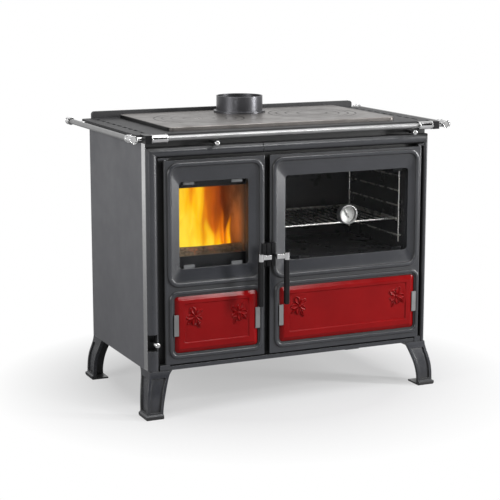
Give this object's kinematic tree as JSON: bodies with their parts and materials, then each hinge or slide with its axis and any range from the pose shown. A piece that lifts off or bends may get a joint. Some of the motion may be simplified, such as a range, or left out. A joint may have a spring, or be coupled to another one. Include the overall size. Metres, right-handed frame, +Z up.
{
  "type": "wood cookstove",
  "caption": "Wood-burning cookstove with a glazed firebox door, a glazed oven door with dial thermometer, red enamel panels, ring hob, flue collar, towel rails and splayed cast legs.",
  "frame": {"origin": "middle of the overall box on the floor, between the feet", "axes": "+X to the right of someone facing the doors, -Y out of the doors, +Z up"},
  "size_m": [1.054, 0.6265, 0.905],
  "materials": {
    "panel_paint": "matte anthracite stove paint",
    "cast_black": "satin black stove paint on cast iron",
    "grate_iron": "bare heat-stained cast iron",
    "ground_iron": "ground and oiled cast iron",
    "stainless": "fine brushed",
    "chrome": "polished",
    "sheet_steel": "matte black heat paint on sheet steel",
    "oven_enamel": "gloss dark enamel",
    "firebrick": "rough fireclay",
    "window_glass": "clear heat-proof glass",
    "red_enamel": "gloss vitreous enamel",
    "black_grip": "matte black heat-proof plastic",
    "seal_rope": "woven glass-fibre rope",
    "dial_white": "matte white",
    "needle_black": "satin"
  },
  "bodies": {
    "stove": {"side_panel_left": "panel_paint", "side_panel_right": "panel_paint", "rear_panel": "panel_paint", "base_panel": "sheet_steel", "front_frame": "cast_black", "column_left": "cast_black", "column_right": "cast_black", "moulding_left": "cast_black", "moulding_right": "cast_black", "bottom_band": "cast_black", "hinge_lugs": "cast_black", "hinge_pins": "chrome", "latch_catch": "black_grip", "top_frame": "cast_black", "cooking_plate": "ground_iron", "flue_collar": "cast_black", "rails": "stainless", "rail_caps": "chrome", "rail_brackets": "cast_black", "leg_front_left": "cast_black", "leg_front_right": "cast_black", "leg_rear_left": "cast_black", "leg_rear_right": "cast_black", "firebox_shell": "sheet_steel", "firebox_bricks": "firebrick", "firebox_floor": "grate_iron", "fire_guards": "grate_iron", "fire_grate": "grate_iron", "ash_drawer": "sheet_steel", "wood_drawer": "sheet_steel", "oven_liner": "oven_enamel", "oven_racks": "chrome", "oven_shelf": "chrome"},
    "firebox_door": {"firebox_door_frame": "cast_black", "firebox_glass": "window_glass", "firebox_glass_clips": "stainless", "firebox_seal": "seal_rope", "firebox_red_plate": "red_enamel", "firebox_plate_clips": "stainless", "firebox_handle_base": "black_grip"},
    "firebox_handle": {"firebox_handle_arm": "chrome", "firebox_handle_grip": "black_grip"},
    "oven_door": {"oven_door_frame": "cast_black", "oven_glass": "window_glass", "oven_glass_clips": "stainless", "oven_seal": "seal_rope", "oven_red_plate": "red_enamel", "oven_plate_clips": "stainless", "oven_handle_base": "black_grip", "thermometer_case": "stainless", "thermometer_dial": "dial_white"},
    "oven_handle": {"oven_handle_arm": "chrome", "oven_handle_grip": "black_grip"},
    "thermometer_pointer": {"thermometer_needle": "needle_black"},
    "outer_ring": {"hob_ring_outer": "ground_iron"},
    "inner_ring": {"hob_ring_inner": "ground_iron"},
    "centre_disc": {"hob_disc": "ground_iron"},
    "primary_air": {"primary_air_knob": "chrome"},
    "secondary_air": {"secondary_air_knob": "chrome"},
    "throttle": {"throttle_knob": "chrome"}
  },
  "joints": [
    {"name": "firebox_door_hinge", "type": "hinge", "parent": "stove", "child": "firebox_door", "pos_m": [-0.41, -0.25075, 0.4585], "axis": [0, 0, -1], "range_deg": [0, 90]},
    {"name": "oven_door_hinge", "type": "hinge", "parent": "stove", "child": "oven_door", "pos_m": [0.44, -0.25075, 0.4585], "axis": [0, 0, 1], "range_deg": [0, 90]},
    {"name": "firebox_handle_turn", "type": "hinge", "parent": "firebox_door", "child": "firebox_handle", "pos_m": [-0.1015, -0.25675, 0.463], "axis": [0, 1, 0], "range_deg": [0, 60]},
    {"name": "oven_handle_turn", "type": "hinge", "parent": "oven_door", "child": "oven_handle", "pos_m": [-0.0705, -0.25675, 0.463], "axis": [0, -1, 0], "range_deg": [0, 60]},
    {"name": "thermometer_turn", "type": "hinge", "parent": "oven_door", "child": "thermometer_pointer", "pos_m": [0.184, -0.25675, 0.566], "axis": [0, 1, 0], "range_deg": [-103, 167]},
    {"name": "outer_ring_lift", "type": "slide", "parent": "stove", "child": "outer_ring", "axis": [0, 0, 1], "range_m": [0, 0.08]},
    {"name": "inner_ring_lift", "type": "slide", "parent": "outer_ring", "child": "inner_ring", "axis": [0, 0, 1], "range_m": [0, 0.08]},
    {"name": "centre_disc_lift", "type": "slide", "parent": "inner_ring", "child": "centre_disc", "axis": [0, 0, 1], "range_m": [0, 0.08]},
    {"name": "primary_air_pull", "type": "slide", "parent": "stove", "child": "primary_air", "axis": [0, -1, 0], "range_m": [0, 0.025]},
    {"name": "secondary_air_pull", "type": "slide", "parent": "stove", "child": "secondary_air", "axis": [0, -1, 0], "range_m": [0, 0.025]},
    {"name": "throttle_pull", "type": "slide", "parent": "stove", "child": "throttle", "axis": [0, -1, 0], "range_m": [0, 0.025]}
  ]
}
